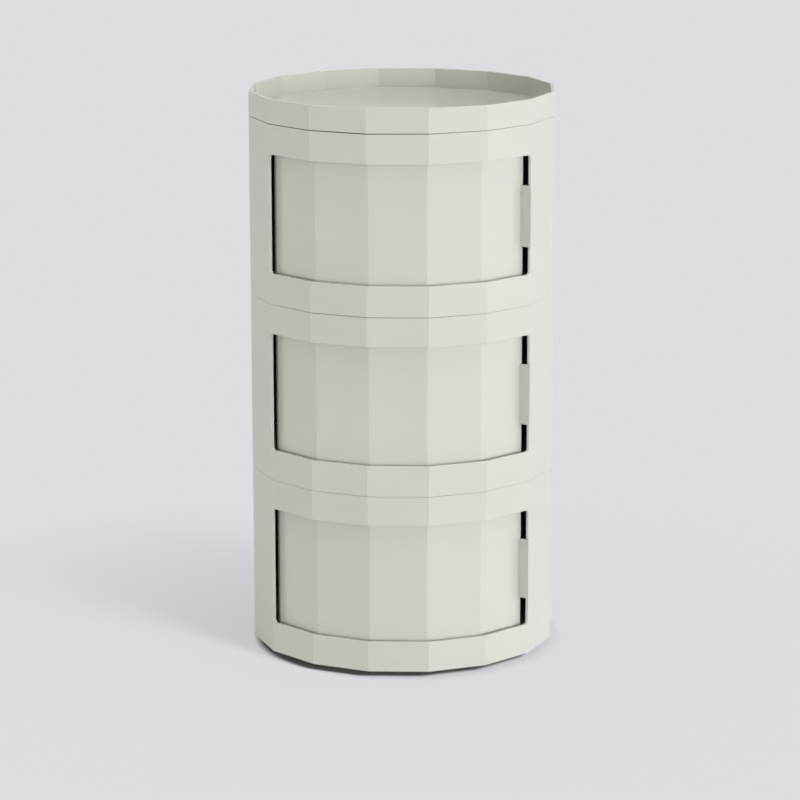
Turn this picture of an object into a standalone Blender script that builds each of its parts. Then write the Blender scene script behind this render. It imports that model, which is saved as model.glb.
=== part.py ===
"""Storage cabinet: stacked drums with sliding doors, a lift-off tray on top and castors hidden in the base.

Lengths are in metres and angles in degrees. The origin is on the floor under the cabinet's upright axis,
and the front faces -Y. Angles on the plan start at the front and grow to the right.
"""

import math

import bmesh
import bpy
from mathutils import Matrix

# Drum: a prism with flat sides, one of which faces the front
SIDES = 16
CORNER_RADIUS = 0.180
WALL = 0.003
MODULES = ("lower", "middle", "upper")
MODULE_HEIGHT = 0.2085
SEAM = 0.0007  # shadow line between two modules
FIT = 0.0003  # gap that pieces keep where they touch

# Doorway in each module
DOORWAY_HALF_ANGLE = 56.0
DOORWAY_SILL = 0.036  # above the module's lower joint
DOORWAY_HEAD = 0.0345  # below its upper joint
DOORWAY_CORNER = 0.004

# Sliding door
DOOR_THICKNESS = 0.003
DOOR_SWEEP_GAP = 0.0035  # from the circle that the door's corners sweep to the drum's inner face
DOOR_LAP = 0.006  # hidden behind the drum wall above and below the doorway
DOOR_END_LAP = 0.003  # hidden behind the left jamb
DOOR_RUN = 0.001  # from the door's lower and upper edges to the tracks
JAMB_GAP = 0.0006  # from the door's right end to the right jamb

# Pull tab at the door's right end
PULL_HEIGHT = 0.071
PULL_THICKNESS = 0.003
PULL_REACH = 0.003  # past the drum's corners
PULL_END_INSET = 0.0004  # from the door's right end
PULL_DROP = 0.0015  # of its middle, below the doorway's middle

# Door tracks
GROOVE_DEPTH = 0.004
GROOVE_PLAY = 0.0005  # to each side of a glide
HEAD_PLAY = 0.001  # above an upper guide
TRACK_WALL = 0.0025

# Glides in the door's lower edge and guides in its upper edge
GLIDE_FACET = 2  # facets from the front one
GLIDE_LENGTH = 0.018
PLUG_SHOULDER = 0.003  # from the end of a glide to its plug
PLUG_HEIGHT = 0.005

# Dividers, crown ring and base deck
DECK = 0.003
FLANGE = 0.004

# Tray
TRAY_HEIGHT = 0.029
TRAY_WALL = 0.004
TRAY_DEPTH = 0.0232
TRAY_FLOOR = 0.003
TRAY_SEAM = 0.001  # shadow line under the tray

# Castors
CASTORS = {"front_left": -45, "front_right": 45, "rear_right": 135, "rear_left": -135}
CASTOR_CLEARANCE = 0.003  # from a turning castor to the track
PAD = 0.0025
PAD_MARGIN = 0.001  # round a plate
PLATE = 0.0015
PLATE_MARGIN = 0.0025  # round the screw heads
SCREW_DIAMETER = 0.003
SCREW_HEAD = 0.0016
SCREW_HEAD_OVERHANG = 0.0015
SCREW_CLEARANCE = 0.0015  # from the yoke to a screw head
SCREW_BITE = 0.004  # length in the base deck
WASHER = 0.0012
WASHER_INSET = 0.002  # from the yoke's rim
KINGPIN_DIAMETER = 0.006
KINGPIN_HEAD = 0.001
KINGPIN_HEAD_OVERHANG = 0.0015
YOKE = 0.0015
YOKE_MARGIN = 0.0007  # round the tops of the legs
LEG_TOP = 0.012
LEG_WALL = 0.0019  # round the axle
TRAIL = 0.009
WHEEL_DIAMETER = 0.024
WHEEL_WIDTH = 0.010
WHEEL_SHOULDER = 0.0012
WHEEL_CLEARANCE = 0.0012  # above the wheel
WHEEL_SIDE_GAP = 0.0006
AXLE_DIAMETER = 0.0036
AXLE_HEAD = 0.0008
AXLE_HEAD_OVERHANG = 0.0012

# Steps of a full turn, and of a rounded corner
TURN_STEPS = 40
WHEEL_STEPS = 28
DISC_STEPS = 20
PIN_STEPS = 12
CORNER_STEPS = 4

# Distances that only serve the modelling
OVERCUT = 0.002  # of a cutter past a face, and of one piece into another that it is joined to
WELD = 0.000001
SMOOTH_ANGLE = math.radians(30)

# Drum and door, from the axis outwards
side_angle = 360 / SIDES
flat_share = math.cos(math.pi / SIDES)
outer_flat = CORNER_RADIUS * flat_share
inner_flat = outer_flat - WALL
rebate_flat = outer_flat - WALL / 2
tray_inner_flat = outer_flat - TRAY_WALL
door_corner_radius = inner_flat - DOOR_SWEEP_GAP
door_flat = door_corner_radius * flat_share
door_left = -DOORWAY_HALF_ANGLE - math.degrees(DOOR_END_LAP / door_corner_radius)
door_right = DOORWAY_HALF_ANGLE - math.degrees(JAMB_GAP / door_corner_radius)
groove_inner = door_flat - DOOR_THICKNESS - GROOVE_PLAY
groove_outer = (math.hypot(door_flat, GLIDE_LENGTH / 2) + GROOVE_PLAY) / math.cos(math.pi / TURN_STEPS)
skirt_radius = inner_flat - FIT
spigot_radius = tray_inner_flat - FIT
plug_length = GLIDE_LENGTH - 2 * PLUG_SHOULDER

# Heights above a module's lower joint; the head track's are measured from the joint above it
doorway_top = MODULE_HEIGHT - DOORWAY_HEAD
door_bottom = DOORWAY_SILL - DOOR_LAP
door_top = doorway_top + DOOR_LAP
deck_top = door_bottom - DOOR_RUN
groove_floor = deck_top - GROOVE_DEPTH
head_lip = door_top + DOOR_RUN - MODULE_HEIGHT
head_roof = head_lip + GROOVE_DEPTH

# Castor sizes, from the wheel outwards
leg_inside = WHEEL_WIDTH / 2 + WHEEL_SIDE_GAP
leg_outside = leg_inside + YOKE
axle_head_inside = leg_outside + FIT
axle_end = axle_head_inside + AXLE_HEAD
axle_hole = AXLE_DIAMETER + 2 * FIT
kingpin_hole = KINGPIN_DIAMETER + 2 * FIT
screw_hole = SCREW_DIAMETER + 2 * FIT
screw_head_diameter = SCREW_DIAMETER + 2 * SCREW_HEAD_OVERHANG
yoke_diameter = 2 * (math.hypot(leg_outside, LEG_TOP / 2) + YOKE_MARGIN)
screw_pitch = yoke_diameter + screw_head_diameter + 2 * SCREW_CLEARANCE
plate_diameter = screw_pitch + screw_head_diameter + 2 * PLATE_MARGIN
swing_radius = math.hypot(TRAIL + WHEEL_DIAMETER / 2, axle_end)
castor_radius = groove_inner - TRACK_WALL - CASTOR_CLEARANCE - swing_radius

# Castor heights above the floor, which carry the whole cabinet
axle_height = WHEEL_DIAMETER / 2 * math.cos(math.pi / WHEEL_STEPS)
rivet_bottom = axle_height + WHEEL_DIAMETER / 2 + WHEEL_CLEARANCE
rivet_top = rivet_bottom + KINGPIN_HEAD
yoke_bottom = rivet_top + FIT
yoke_top = yoke_bottom + YOKE
washer_bottom = yoke_top + FIT
washer_top = washer_bottom + WASHER
plate_bottom = washer_top + FIT
plate_top = plate_bottom + PLATE
pad_bottom = plate_top + FIT
lower_joint = pad_bottom - (deck_top - DECK - PAD)
joints = [lower_joint + MODULE_HEIGHT * level for level in range(len(MODULES) + 1)]


def at(angle, radius):
    """A point on the plan."""
    turn = math.radians(angle)
    return radius * math.sin(turn), -radius * math.cos(turn)


def drum_outline(flat_radius):
    """The drum's plan at a distance from the axis to its flat sides."""
    return [at((side + 0.5) * side_angle, flat_radius / flat_share) for side in range(SIDES)]


def circle_outline(radius, steps):
    return [at(360 * step / steps, radius) for step in range(steps)]


def on_drum(angle, flat_radius):
    """The point of a drum outline in the given direction."""
    off_middle = (angle + side_angle / 2) % side_angle - side_angle / 2
    return at(angle, flat_radius / math.cos(math.radians(off_middle)))


def drum_arc(first, last, flat_radius):
    """The points of a drum outline from one direction to another."""
    corners = [(side + 0.5) * side_angle for side in range(-SIDES, SIDES)]
    angles = [first] + [angle for angle in corners if first < angle < last] + [last]
    return [on_drum(angle, flat_radius) for angle in angles]


def smoothed(mesh):
    mesh.shade_smooth()
    mesh.set_sharp_from_angle(angle=SMOOTH_ANGLE)
    return mesh


def mesh_of(holder):
    """The evaluated mesh of a helper object, which is then removed."""
    bpy.context.scene.collection.objects.link(holder)
    graph = bpy.context.evaluated_depsgraph_get()
    mesh = bpy.data.meshes.new_from_object(holder.evaluated_get(graph))
    bpy.data.objects.remove(holder)
    return mesh


def edited(mesh, turn=None, shift=(0, 0, 0)):
    """The mesh welded, turned, moved and with its faces pointing out."""
    shape = bmesh.new()
    shape.from_mesh(mesh)
    bmesh.ops.remove_doubles(shape, verts=shape.verts, dist=WELD)
    bmesh.ops.translate(shape, verts=shape.verts, vec=shift)
    if turn:
        bmesh.ops.transform(shape, verts=shape.verts, matrix=turn)
    bmesh.ops.recalc_face_normals(shape, faces=shape.faces)
    shape.to_mesh(mesh)
    shape.free()
    return mesh


def prism(outlines, bottom, top, turn=None):
    """A flat outline, with any holes as further outlines, between two heights."""
    curve = bpy.data.curves.new("outline", "CURVE")
    curve.dimensions = "2D"
    curve.fill_mode = "BOTH"
    curve.extrude = (top - bottom) / 2
    for outline in outlines:
        spline = curve.splines.new("POLY")
        spline.points.add(len(outline) - 1)
        spline.use_cyclic_u = True
        for point, (x, y) in zip(spline.points, outline):
            point.co = (x, y, 0, 1)
    mesh = mesh_of(bpy.data.objects.new("outline", curve))
    bpy.data.curves.remove(curve)
    return edited(mesh, turn, (0, 0, (bottom + top) / 2))


def turned(profile, steps, is_ring=False):
    """A profile of (radius, height) points, top to bottom on its outer side, turned about the Z axis."""
    mesh = bpy.data.meshes.new("profile")
    edges = [(index, index + 1) for index in range(len(profile) - 1)]
    if is_ring:
        edges.append((len(profile) - 1, 0))
    mesh.from_pydata([(radius, 0, height) for radius, height in profile], edges, [])
    holder = bpy.data.objects.new("profile", mesh)
    screw = holder.modifiers.new("turn", "SCREW")
    screw.steps = steps
    screw.render_steps = steps
    screw.use_merge_vertices = True
    screw.merge_threshold = WELD
    solid = mesh_of(holder)
    bpy.data.meshes.remove(mesh)
    return smoothed(edited(solid))


def rods(places, diameter, bottom, top, steps):
    """Upright cylinders at places on the plan."""
    shape = bmesh.new()
    for x, y in places:
        bmesh.ops.create_cone(
            shape,
            cap_ends=True,
            segments=steps,
            radius1=diameter / 2,
            radius2=diameter / 2,
            depth=top - bottom,
            matrix=Matrix.Translation((x, y, (bottom + top) / 2)),
        )
    mesh = bpy.data.meshes.new("rods")
    shape.to_mesh(mesh)
    shape.free()
    return smoothed(mesh)


def blocks(places):
    """Boxes, each given as its size, centre and turn about the upright axis."""
    shape = bmesh.new()
    for size, centre, angle in places:
        turn = Matrix.Rotation(math.radians(angle), 4, "Z")
        stretch = Matrix.Diagonal((*size, 1))
        bmesh.ops.create_cube(shape, size=1, matrix=turn @ Matrix.Translation(centre) @ stretch)
    mesh = bpy.data.meshes.new("blocks")
    shape.to_mesh(mesh)
    shape.free()
    return mesh


def new_material(name, colour, roughness, metallic=0.0):
    material = bpy.data.materials.new(name)
    material.use_nodes = True
    shader = material.node_tree.nodes["Principled BSDF"]
    shader.inputs["Base Color"].default_value = (*colour, 1)
    shader.inputs["Roughness"].default_value = roughness
    shader.inputs["Metallic"].default_value = metallic
    return material


def new_collection(name):
    collection = bpy.data.collections.new(name)
    bpy.context.scene.collection.children.link(collection)
    return collection


def add_part(name, mesh, material, parent=None, location=(0, 0, 0)):
    mesh.name = name
    mesh.materials.clear()
    mesh.materials.append(material)
    part = bpy.data.objects.new(name, mesh)
    part.location = location
    part.parent = parent
    cabinet.objects.link(part)
    return part


def combine(part, operation, mesh):
    """A Boolean of the part with a helper solid, given in the part's own coordinates."""
    helper = bpy.data.objects.new(f"{part.name}_{operation.lower()}", mesh)
    helper.parent = part
    helper.hide_render = True
    helper.display_type = "WIRE"
    cutters.objects.link(helper)
    modifier = part.modifiers.new(operation.title(), "BOOLEAN")
    modifier.operation = operation
    modifier.solver = "EXACT"
    modifier.object = helper


def flange(bottom, top):
    """The flat-sided ring that carries a drum wall, rooted in the round skirt."""
    rim = drum_outline(rebate_flat - FIT)
    root = circle_outline(skirt_radius - TRACK_WALL / 2, TURN_STEPS)
    return prism([rim, root], bottom, top)


def runs_along_jamb(edge):
    first, second = (vert.co for vert in edge.verts)
    return first.x * second.x > 0 and abs(first.z - second.z) < WELD


def doorway_cutter():
    """A wedge of the doorway's width and height, with its corners rounded."""
    half = DOORWAY_HALF_ANGLE
    near = CORNER_RADIUS / 2
    far = (CORNER_RADIUS + OVERCUT) / math.cos(math.radians(half))
    outline = [at(-half, near), at(-half, far), at(half, far), at(half, near)]
    mesh = prism([outline], DOORWAY_SILL, doorway_top)
    shape = bmesh.new()
    shape.from_mesh(mesh)
    bmesh.ops.dissolve_limit(shape, angle_limit=WELD, verts=shape.verts, edges=shape.edges)
    rounded = [edge for edge in shape.edges if runs_along_jamb(edge)]
    bmesh.ops.bevel(
        shape,
        geom=rounded,
        offset=DOORWAY_CORNER,
        offset_type="OFFSET",
        affect="EDGES",
        segments=CORNER_STEPS,
        profile=0.5,
        material=-1,
    )
    bmesh.ops.recalc_face_normals(shape, faces=shape.faces)
    shape.to_mesh(mesh)
    shape.free()
    return mesh


def add_shell(name, joint):
    bottom = SEAM / 2
    top = MODULE_HEIGHT - SEAM / 2
    seat = FLANGE / 2 + FIT
    rebate = drum_outline(rebate_flat)
    wall = prism([drum_outline(outer_flat), drum_outline(inner_flat)], bottom, top)
    shell = add_part(name, wall, moulding, location=(0, 0, joint))
    combine(shell, "DIFFERENCE", prism([rebate], bottom - OVERCUT, seat))
    combine(shell, "DIFFERENCE", prism([rebate], MODULE_HEIGHT - seat, top + OVERCUT))
    combine(shell, "DIFFERENCE", doorway_cutter())


def deck_profile():
    """Top of a floor, from the axis to the skirt, with the groove of the door above it."""
    return [
        (0, deck_top),
        (groove_inner, deck_top),
        (groove_inner, groove_floor),
        (groove_outer, groove_floor),
        (groove_outer, deck_top),
        (skirt_radius, deck_top),
    ]


def deck_underside():
    return [
        (skirt_radius - TRACK_WALL, groove_floor - TRACK_WALL),
        (groove_inner - TRACK_WALL, groove_floor - TRACK_WALL),
        (groove_inner - TRACK_WALL, deck_top - DECK),
        (0, deck_top - DECK),
    ]


def head_profile():
    """Lower end of a skirt, with the groove of the door below it."""
    return [
        (skirt_radius, head_lip),
        (groove_outer, head_lip),
        (groove_outer, head_roof),
        (groove_inner, head_roof),
        (groove_inner, head_lip),
        (groove_inner - TRACK_WALL, head_lip),
        (groove_inner - TRACK_WALL, head_roof + TRACK_WALL),
        (skirt_radius - TRACK_WALL, head_roof + TRACK_WALL),
    ]


def add_divider(name, joint):
    body = turned(deck_profile() + head_profile() + deck_underside(), TURN_STEPS)
    divider = add_part(name, body, moulding, location=(0, 0, joint))
    combine(divider, "UNION", flange(-FLANGE / 2, FLANGE / 2))


def add_crown(joint):
    spigot_top = TRAY_HEIGHT - TRAY_DEPTH - TRAY_FLOOR - FIT
    ledge_top = -FLANGE / 4
    ledge_bottom = ledge_top - TRACK_WALL
    outside = [(spigot_radius, spigot_top), (spigot_radius, ledge_top), (skirt_radius, ledge_top)]
    inside = [
        (skirt_radius - TRACK_WALL, ledge_bottom),
        (spigot_radius - TRACK_WALL, ledge_bottom),
        (spigot_radius - TRACK_WALL, spigot_top),
    ]
    body = turned(outside + head_profile() + inside, TURN_STEPS, is_ring=True)
    crown = add_part("crown_ring", body, moulding, location=(0, 0, joint))
    combine(crown, "UNION", flange(-FLANGE / 2, TRAY_SEAM - SEAM / 2 - FIT))


def add_base(joint):
    foot = SEAM / 2
    skirt = [(skirt_radius, foot), (skirt_radius - TRACK_WALL, foot)]
    body = turned(deck_profile() + skirt + deck_underside(), TURN_STEPS)
    base = add_part("base_deck", body, moulding, location=(0, 0, joint))
    combine(base, "UNION", flange(foot + FIT, FLANGE / 2))
    pads = [at(angle, castor_radius) for angle in CASTORS.values()]
    pad_face = pad_bottom - joint
    pad_root = deck_top - DECK / 2
    pad_diameter = plate_diameter + 2 * PAD_MARGIN
    combine(base, "UNION", rods(pads, pad_diameter, pad_face, pad_root, DISC_STEPS))
    holes = [(x + side * screw_pitch / 2, y) for x, y in pads for side in (-1, 1)]
    hole_top = pad_face + SCREW_BITE + FIT
    combine(base, "DIFFERENCE", rods(holes, screw_hole, pad_face - OVERCUT, hole_top, PIN_STEPS))


def add_tray(joint):
    floor_top = TRAY_HEIGHT - TRAY_DEPTH
    bottom = TRAY_SEAM - SEAM / 2
    inside = drum_outline(tray_inner_flat)
    block = prism([drum_outline(outer_flat)], bottom, TRAY_HEIGHT)
    tray = add_part("tray_top", block, moulding, location=(0, 0, joint))
    combine(tray, "DIFFERENCE", prism([inside], floor_top, TRAY_HEIGHT + OVERCUT))
    combine(tray, "DIFFERENCE", prism([inside], bottom - OVERCUT, floor_top - TRAY_FLOOR))


def pull_tab():
    """A plate that stands out from the door, square to its end."""
    middle = (DOORWAY_SILL + doorway_top) / 2 - PULL_DROP
    root = door_flat - DOOR_THICKNESS / 2
    tip = CORNER_RADIUS + PULL_REACH
    right = -PULL_END_INSET
    left = right - PULL_THICKNESS
    outline = [(left, -root), (left, -tip), (right, -tip), (right, -root)]
    turn = Matrix.Rotation(math.radians(door_right), 4, "Z")
    return prism([outline], middle - PULL_HEIGHT / 2, middle + PULL_HEIGHT / 2, turn)


def add_glide(name, door, angle, foot_end, edge, inwards):
    """A foot outside the door's edge and a plug in the notch there; inwards is 1 at the lower edge."""
    foot_root = edge - inwards * FIT
    plug_end = edge + inwards * (PLUG_HEIGHT - FIT)
    half_foot = GLIDE_LENGTH / 2
    half_plug = plug_length / 2 - FIT
    foot_side = [(half_foot, foot_end), (half_foot, foot_root)]
    right_side = foot_side + [(half_plug, foot_root), (half_plug, plug_end)]
    left_side = [(-x, height) for x, height in reversed(right_side)]
    upright = Matrix.Rotation(math.radians(90), 4, "X")
    solid = prism([right_side + left_side], door_flat - DOOR_THICKNESS, door_flat, upright)
    glide = add_part(name, solid, nylon, parent=door)
    glide.rotation_euler.z = math.radians(angle)


def add_door(name, joint):
    outer = drum_arc(door_left, door_right, door_flat)
    inner = drum_arc(door_left, door_right, door_flat - DOOR_THICKNESS)
    panel = prism([outer + inner[::-1]], door_bottom, door_top)
    door = add_part(name, panel, moulding, location=(0, 0, joint))
    combine(door, "UNION", pull_tab())
    notch = (plug_length, DOOR_THICKNESS + 2 * OVERCUT, PLUG_HEIGHT + OVERCUT)
    depth = -door_flat + DOOR_THICKNESS / 2
    low = door_bottom + (PLUG_HEIGHT - OVERCUT) / 2
    high = door_top - (PLUG_HEIGHT - OVERCUT) / 2
    places = {"left": -GLIDE_FACET * side_angle, "right": GLIDE_FACET * side_angle}
    notches = [(notch, (0, depth, height), angle) for height in (low, high) for angle in places.values()]
    combine(door, "DIFFERENCE", blocks(notches))
    guide_tip = MODULE_HEIGHT + head_roof - HEAD_PLAY
    for side, angle in places.items():
        add_glide(f"{name}_glide_{side}", door, angle, groove_floor + FIT, door_bottom, 1)
        add_glide(f"{name}_guide_{side}", door, angle, guide_tip, door_top, -1)


def leg_outline():
    """Side of a yoke's leg, from under the top disc down round the axle."""
    half_top = LEG_TOP / 2
    top = yoke_bottom + YOKE / 2
    radius = axle_hole / 2 + LEG_WALL
    turns = [math.pi + math.pi * step / PIN_STEPS for step in range(PIN_STEPS + 1)]
    end = [(TRAIL + radius * math.cos(turn), axle_height + radius * math.sin(turn)) for turn in turns]
    return [(half_top, top), (-half_top, top)] + end


def add_yoke(name, pivot):
    sideways = Matrix(((0, 0, 1, 0), (1, 0, 0, 0), (0, 1, 0, 0), (0, 0, 0, 1)))
    disc = rods([(0, 0)], yoke_diameter, yoke_bottom, yoke_top, DISC_STEPS)
    yoke = add_part(name, disc, steel, parent=pivot)
    combine(yoke, "UNION", prism([leg_outline()], leg_inside, leg_outside, sideways))
    combine(yoke, "UNION", prism([leg_outline()], -leg_outside, -leg_inside, sideways))
    pin_cutter = rods([(0, 0)], kingpin_hole, yoke_bottom - OVERCUT, yoke_top + OVERCUT, PIN_STEPS)
    combine(yoke, "DIFFERENCE", pin_cutter)
    reach = leg_outside + OVERCUT
    across = Matrix.Translation((0, TRAIL, axle_height)) @ sideways
    combine(yoke, "DIFFERENCE", edited(rods([(0, 0)], axle_hole, -reach, reach, PIN_STEPS), across))


def headed_pin(shank_top, shank_diameter, head_top, head_diameter, head_bottom):
    """An upright pin with its head at the lower end."""
    profile = [
        (0, shank_top),
        (shank_diameter / 2, shank_top),
        (shank_diameter / 2, head_top),
        (head_diameter / 2, head_top),
        (head_diameter / 2, head_bottom),
        (0, head_bottom),
    ]
    return turned(profile, PIN_STEPS)


def axle_solid():
    """A pin headed at both ends, along the upright axis."""
    head_radius = AXLE_DIAMETER / 2 + AXLE_HEAD_OVERHANG
    upper = [
        (0, axle_end),
        (head_radius, axle_end),
        (head_radius, axle_head_inside),
        (AXLE_DIAMETER / 2, axle_head_inside),
    ]
    lower = [(radius, -height) for radius, height in reversed(upper)]
    return turned(upper + lower, PIN_STEPS)


def wheel_solid():
    """A wheel about the upright axis, turned so that it stands on a flat of its tread."""
    rim = WHEEL_DIAMETER / 2
    half_width = WHEEL_WIDTH / 2
    upper = [
        (axle_hole / 2, half_width),
        (rim - WHEEL_SHOULDER, half_width),
        (rim, half_width - WHEEL_SHOULDER),
    ]
    lower = [(radius, -height) for radius, height in reversed(upper)]
    wheel = turned(upper + lower, WHEEL_STEPS, is_ring=True)
    return edited(wheel, Matrix.Rotation(math.pi / WHEEL_STEPS, 4, "Z"))


def washer_solid():
    outside = yoke_diameter / 2 - WASHER_INSET
    inside = kingpin_hole / 2
    top, bottom = washer_top, washer_bottom
    profile = [(outside, top), (outside, bottom), (inside, bottom), (inside, top)]
    return turned(profile, PIN_STEPS, is_ring=True)


def add_plate(name, pivot, screws):
    disc = rods([(0, 0)], plate_diameter, plate_bottom, plate_top, DISC_STEPS)
    plate = add_part(name, disc, steel, parent=pivot)
    low = plate_bottom - OVERCUT
    high = plate_top + OVERCUT
    combine(plate, "DIFFERENCE", rods([(0, 0)], kingpin_hole, low, high, PIN_STEPS))
    combine(plate, "DIFFERENCE", rods(screws, screw_hole, low, high, PIN_STEPS))


def add_castor(name, angle):
    """A swivel castor in coordinates of its kingpin axis, with its wheel trailing to the rear."""
    pivot = bpy.data.objects.new(f"{name}_swivel", None)
    pivot.location = (*at(angle, castor_radius), 0)
    cabinet.objects.link(pivot)
    screws = {"left": (-screw_pitch / 2, 0), "right": (screw_pitch / 2, 0)}
    add_plate(f"{name}_plate", pivot, screws.values())
    head_top = plate_bottom - FIT
    for side, (x, y) in screws.items():
        screw = headed_pin(
            pad_bottom + SCREW_BITE, SCREW_DIAMETER, head_top, screw_head_diameter, head_top - SCREW_HEAD
        )
        add_part(f"{name}_screw_{side}", screw, steel, pivot, (x, y, 0))
    rivet_diameter = KINGPIN_DIAMETER + 2 * KINGPIN_HEAD_OVERHANG
    kingpin = headed_pin(plate_top, KINGPIN_DIAMETER, rivet_top, rivet_diameter, rivet_bottom)
    add_part(f"{name}_kingpin", kingpin, steel, pivot)
    add_part(f"{name}_washer", washer_solid(), nylon, pivot)
    add_yoke(f"{name}_yoke", pivot)
    axle_centre = (0, TRAIL, axle_height)
    axle = add_part(f"{name}_axle", axle_solid(), steel, pivot, axle_centre)
    wheel = add_part(f"{name}_wheel", wheel_solid(), tyre, pivot, axle_centre)
    for piece in (axle, wheel):
        piece.rotation_euler.y = math.radians(90)


for leftover in list(bpy.data.objects):
    bpy.data.objects.remove(leftover)
cabinet = new_collection("storage_cabinet")
cutters = new_collection("cutters")
moulding = new_material("moulding", (0.76, 0.75, 0.70), 0.35)
nylon = new_material("nylon", (0.55, 0.55, 0.53), 0.45)
steel = new_material("steel", (0.55, 0.55, 0.56), 0.30, metallic=1.0)
tyre = new_material("tyre", (0.03, 0.03, 0.03), 0.60)

for module, module_joint in zip(MODULES, joints):
    add_shell(f"shell_{module}", module_joint)
    add_door(f"door_{module}", module_joint)
add_base(joints[0])
add_divider("divider_lower", joints[1])
add_divider("divider_upper", joints[2])
add_crown(joints[3])
add_tray(joints[3])
for corner, corner_angle in CASTORS.items():
    add_castor(f"castor_{corner}", corner_angle)
bpy.context.view_layer.update()
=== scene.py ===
import math

import bmesh
import bpy
from mathutils import Matrix, Vector


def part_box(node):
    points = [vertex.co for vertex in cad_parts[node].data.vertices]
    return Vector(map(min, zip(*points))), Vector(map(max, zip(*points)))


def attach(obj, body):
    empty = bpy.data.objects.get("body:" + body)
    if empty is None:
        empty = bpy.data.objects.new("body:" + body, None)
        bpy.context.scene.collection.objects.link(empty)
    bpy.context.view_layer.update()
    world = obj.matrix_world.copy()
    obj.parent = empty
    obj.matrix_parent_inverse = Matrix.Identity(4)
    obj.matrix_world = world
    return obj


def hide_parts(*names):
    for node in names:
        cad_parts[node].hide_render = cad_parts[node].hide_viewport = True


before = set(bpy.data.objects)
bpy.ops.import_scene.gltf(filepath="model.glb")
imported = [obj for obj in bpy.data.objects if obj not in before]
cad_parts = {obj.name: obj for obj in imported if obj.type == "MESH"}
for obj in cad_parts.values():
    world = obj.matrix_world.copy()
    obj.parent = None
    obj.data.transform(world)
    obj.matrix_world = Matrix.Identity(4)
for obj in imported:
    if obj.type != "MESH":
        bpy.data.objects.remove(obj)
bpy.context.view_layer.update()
print("frame loaded with", len(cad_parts), "solids")

# what several pieces share
modules = ("lower", "middle", "upper")
corners = ("front_left", "front_right", "rear_right", "rear_left")
sideCount = 16
sideAngle = 360 / sideCount
cornerShare = math.cos(math.pi / sideCount)  # flat radius over corner radius
near = 1e-5  # metres that count as the same place
nearAngle = 0.01  # degrees that count as the same angle
weld = 1e-6
cutReach = 1e-7
flatTurn = 0.5  # faces that meet at fewer degrees lie in one plane
sideTurn = 10  # two drum sides meet at more
ringTurn = 30  # two steps of a turned part meet at less
squareTurn = 50  # shading breaks at sharper edges
floorOnly = bpy.data.collections.new("floorOnly")  # what some lamps light alone
cabinetOnly = bpy.data.collections.new("cabinetOnly")
undersideOnly = bpy.data.collections.new("undersideOnly")


def direction(angle):  # on the plan, from the front to the right
    turn = math.radians(angle)
    return Vector((math.sin(turn), -math.cos(turn), 0))


def angleOf(point):
    return math.degrees(math.atan2(point.x, -point.y))


def flatReach(point):  # distance from the axis to the drum side that holds the point
    return max(point.dot(direction(side * sideAngle)) for side in range(sideCount))


def frontShare(point, toward, fall):  # 1 at one angle in front, less and less round to the back
    return (0.5 + 0.5 * math.cos(math.radians(angleOf(point) - toward))) ** fall


def middle(face):
    return face.calc_center_median()


def facesUp(face, way):  # way is 1 for up and -1 for down
    return face.normal.z * way > 0.5


def isUpright(face):
    return abs(face.normal.z) < 0.5


def sharpness(edge):
    return math.degrees(edge.calc_face_angle(0.0))


def sharpEdges(shape, turn):
    return [edge for edge in shape.edges if sharpness(edge) > turn]


def ringEdges(shape):
    return [edge for edge in sharpEdges(shape, ringTurn) if edge.is_manifold]


def boundary(shape):
    return [edge for edge in shape.edges if edge.is_boundary]


def once(items):  # each one once, in the order given
    return list(dict.fromkeys(items))


# spins a profile of (radius, height) all the way round
def spun(shape, profile, steps, start=0.0, closed=True, axis=(0, 0, 1), cent=(0, 0, 0)):
    along = Vector(axis)
    out = direction(start) if along.z else Vector((0, 0, -1))
    verts = [shape.verts.new(Vector(cent) + out * radius + along * height) for radius, height in profile]
    pairs = list(zip(verts, verts[1:])) + ([(verts[-1], verts[0])] if closed else [])
    edges = [shape.edges.new(pair) for pair in pairs]
    bmesh.ops.spin(
        shape, geom=verts + edges, cent=cent, axis=axis, angle=2 * math.pi, steps=steps, use_merge=True,
    )
    bmesh.ops.remove_doubles(shape, verts=shape.verts, dist=weld)
    bmesh.ops.recalc_face_normals(shape, faces=shape.faces)


def drumRing(shape, profile, closed=True):  # profile of (flat radius, height), taken round the flat sides
    corner = [(flat / cornerShare, height) for flat, height in profile]
    spun(shape, corner, sideCount, sideAngle / 2, closed)


def sliced(shape, faces, point, normal, clear=False):
    edges = once(edge for face in faces for edge in face.edges)
    verts = once(vert for face in faces for vert in face.verts)
    geom = verts + edges + faces
    bmesh.ops.bisect_plane(
        shape, geom=geom, dist=cutReach, plane_co=point, plane_no=normal, clear_outer=clear,
    )


def mergeFlat(shape):  # cells that lie in one upright plane become one face
    level = [edge for edge in shape.edges if edge.is_manifold and sharpness(edge) < flatTurn]
    upright = [edge for edge in level if all(map(isUpright, edge.link_faces))]
    verts = once(vert for edge in upright for vert in edge.verts)
    bmesh.ops.dissolve_limit(shape, angle_limit=math.radians(flatTurn), verts=verts, edges=upright)


def pulled(shape, faces, move, keep=False):  # extrudes the faces by a step or a matrix
    edges = once(edge for face in faces for edge in face.edges)
    made = bmesh.ops.extrude_face_region(shape, geom=faces + edges, use_keep_orig=keep)["geom"]
    verts = [item for item in made if isinstance(item, bmesh.types.BMVert)]
    matrix = move if isinstance(move, Matrix) else Matrix.Translation(move)
    bmesh.ops.transform(shape, verts=verts, matrix=matrix)


def rounded(shape, edges, width, segments=2, wearAndHighlightShare=1.0):  # the moulding finish makes the new faces lighter, part wear and part painted edge highlight
    wearAndPaintedLight = shape.faces.layers.float.get("edgeWearAndPaintedLight") or shape.faces.layers.float.new("edgeWearAndPaintedLight")
    made = bmesh.ops.bevel(
        shape, geom=edges, offset=width, offset_type="OFFSET", affect="EDGES", segments=segments, profile=0.5,
        material=-1, clamp_overlap=True,
    )
    for face in made["faces"]:
        face[wearAndPaintedLight] = wearAndHighlightShare


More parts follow.
